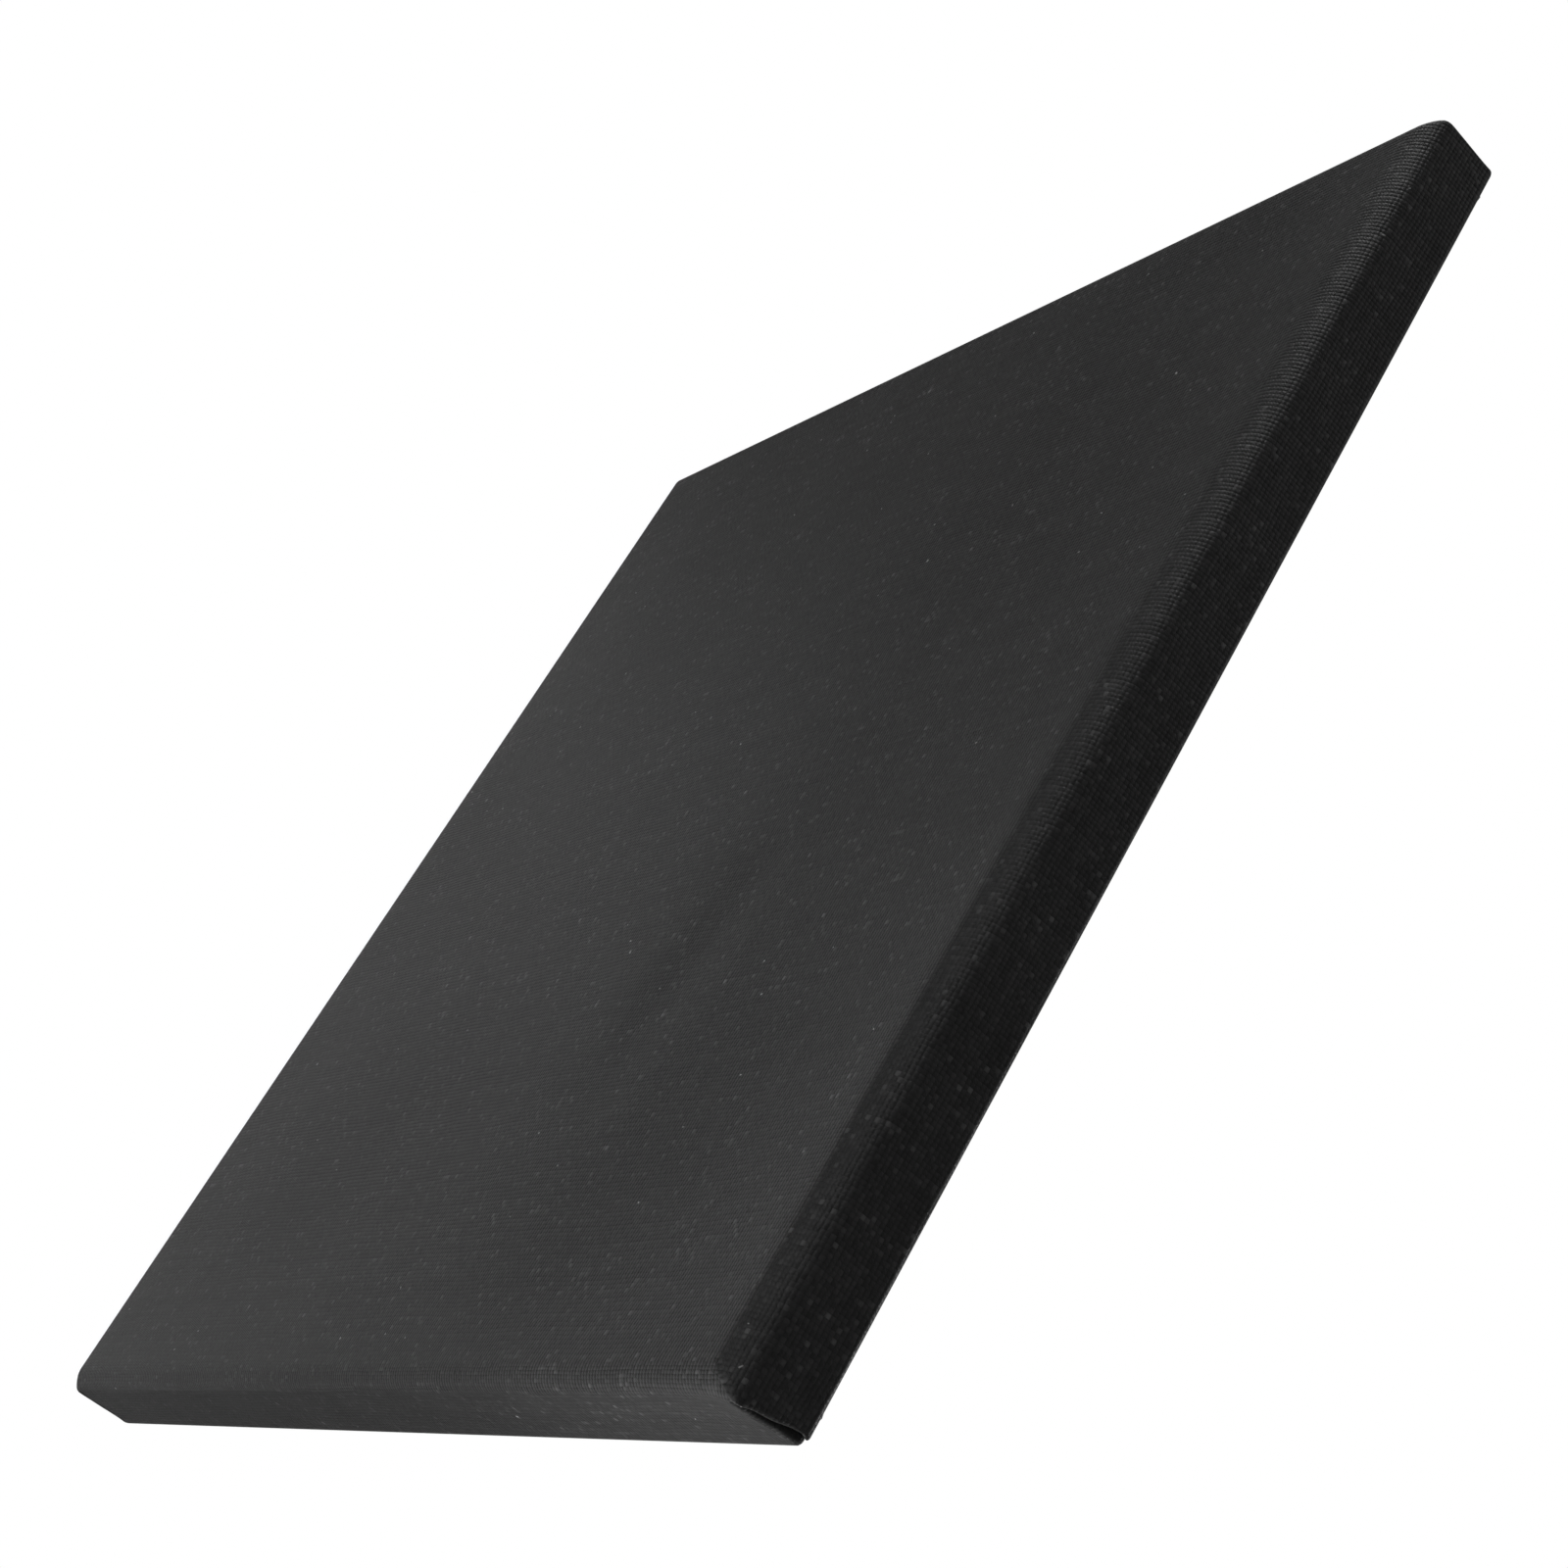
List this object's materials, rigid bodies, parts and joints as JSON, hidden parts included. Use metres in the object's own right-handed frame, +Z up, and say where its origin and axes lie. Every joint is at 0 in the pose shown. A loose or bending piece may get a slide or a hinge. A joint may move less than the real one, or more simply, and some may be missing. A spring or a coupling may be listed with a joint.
{
  "type": "wall punch pad",
  "caption": "Square wall-mounted punching pad: canvas-wrapped foam on a plywood board, hung on keyhole plates with rubber bumpers behind.",
  "frame": {"origin": "middle of the pad on the plane of the wall, at the contact face of the centre bumper", "axes": "+X across the pad to the right seen from the front, +Y into the wall, +Z up; the punching face looks along -Y"},
  "size_m": [0.3, 0.021, 0.3],
  "materials": {
    "canvas": "matte",
    "plywood": "matte",
    "foam_firm": "matte",
    "foam_soft": "matte",
    "staple_steel": "satin",
    "plate_steel": "satin",
    "screw_steel": "satin",
    "bumper_rubber": "matte"
  },
  "bodies": {
    "root": {"backing_board": "plywood", "firm_foam": "foam_firm", "soft_foam": "foam_soft", "fabric_cover": "canvas", "staples_top": "staple_steel", "staples_left": "staple_steel", "staples_bottom": "staple_steel", "staples_right": "staple_steel", "staples_corners": "staple_steel", "keyhole_plate_left": "plate_steel", "keyhole_plate_right": "plate_steel", "plate_screw_left_upper": "screw_steel", "plate_screw_left_lower": "screw_steel", "plate_screw_right_upper": "screw_steel", "plate_screw_right_lower": "screw_steel", "bumper_top_left": "bumper_rubber", "bumper_top_right": "bumper_rubber", "bumper_bottom_left": "bumper_rubber", "bumper_bottom_right": "bumper_rubber", "bumper_centre": "bumper_rubber"}
  },
  "joints": []
}
